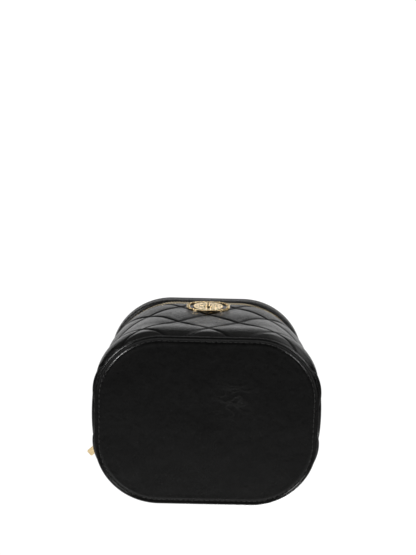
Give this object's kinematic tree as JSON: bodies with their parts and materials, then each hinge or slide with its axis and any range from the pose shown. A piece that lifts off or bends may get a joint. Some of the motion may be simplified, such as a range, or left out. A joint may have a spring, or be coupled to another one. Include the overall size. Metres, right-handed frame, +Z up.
{
  "type": "leather jewellery case",
  "caption": "Zipped oval-cornered jewellery case in padded quilted leather, with a hinged lid, a mirror and a lift-out tray with ring rolls.",
  "frame": {"origin": "centre of the base panel's underside, on the surface that the case stands on", "axes": "+Z up towards the lid, -Y the front with the medallion, +X to the right when the front is faced"},
  "size_m": [0.1674, 0.1267, 0.1127],
  "materials": {
    "base_leather": "smooth, glossy",
    "quilted_leather": "fine grain, satin, padded and stitched",
    "trim_leather": "fine grain, satin",
    "board": "grey fibreboard",
    "lining": "suede cloth",
    "zip_tape": "woven",
    "gold": "polished light gold plate",
    "mirror": "silvered glass",
    "tray_covering": "board covered in suede cloth",
    "tray_pad": "suede cloth over foam",
    "ribbon": "grosgrain"
  },
  "bodies": {
    "case": {"base_panel": "base_leather", "base_board": "board", "quilted_wall": "quilted_leather", "body_board": "board", "body_lining": "lining", "floor_lining": "lining", "lower_zip_tape": "zip_tape", "lower_zip_teeth": "gold", "zip_end_stops": "gold", "zip_end_covers": "trim_leather", "hinge_strip_lower": "trim_leather", "medallion": "gold", "medallion_beads": "gold", "tray_ledge": "lining"},
    "slider": {"zip_slider": "gold"},
    "link": {"pull_link": "gold"},
    "tab": {"pull_tab": "gold"},
    "lid": {"lid_rim": "trim_leather", "lid_rim_board": "board", "lid_board": "board", "lid_top": "quilted_leather", "lid_piping": "trim_leather", "lid_rim_lining": "lining", "lid_lining": "lining", "mirror_glass": "mirror", "mirror_frame": "trim_leather", "upper_zip_tape": "zip_tape", "upper_zip_teeth": "gold", "lid_end_covers": "trim_leather", "hinge_strip_upper": "trim_leather"},
    "tray": {"tray_shell": "tray_covering", "tray_floor_pad": "tray_pad", "tray_dividers": "tray_covering", "ring_rolls": "tray_pad", "tray_ribbons": "ribbon"}
  },
  "joints": [
    {"name": "lid_hinge", "type": "hinge", "parent": "case", "child": "lid", "pos_m": [0, 0.0583, 0.0966], "axis": [-1, 0, 0], "range_deg": [0, 100]},
    {"name": "slider_travel", "type": "hinge", "parent": "case", "child": "slider", "pos_m": [-0.0225, 0.00625, 0.0966], "axis": [0, 0, 1], "range_deg": [0, 36]},
    {"name": "link_swing", "type": "hinge", "parent": "slider", "child": "link", "pos_m": [-0.06178, 0.041, 0.0966], "axis": [0.6626, 0.749, 0], "range_deg": [-60, 60]},
    {"name": "tab_swing", "type": "hinge", "parent": "link", "child": "tab", "pos_m": [-0.06851, 0.04695, 0.09597], "axis": [0.6626, 0.749, 0], "range_deg": [-10, 30]},
    {"name": "tray_lift", "type": "slide", "parent": "case", "child": "tray", "axis": [0, 0, 1], "range_m": [0, 0.012]}
  ]
}
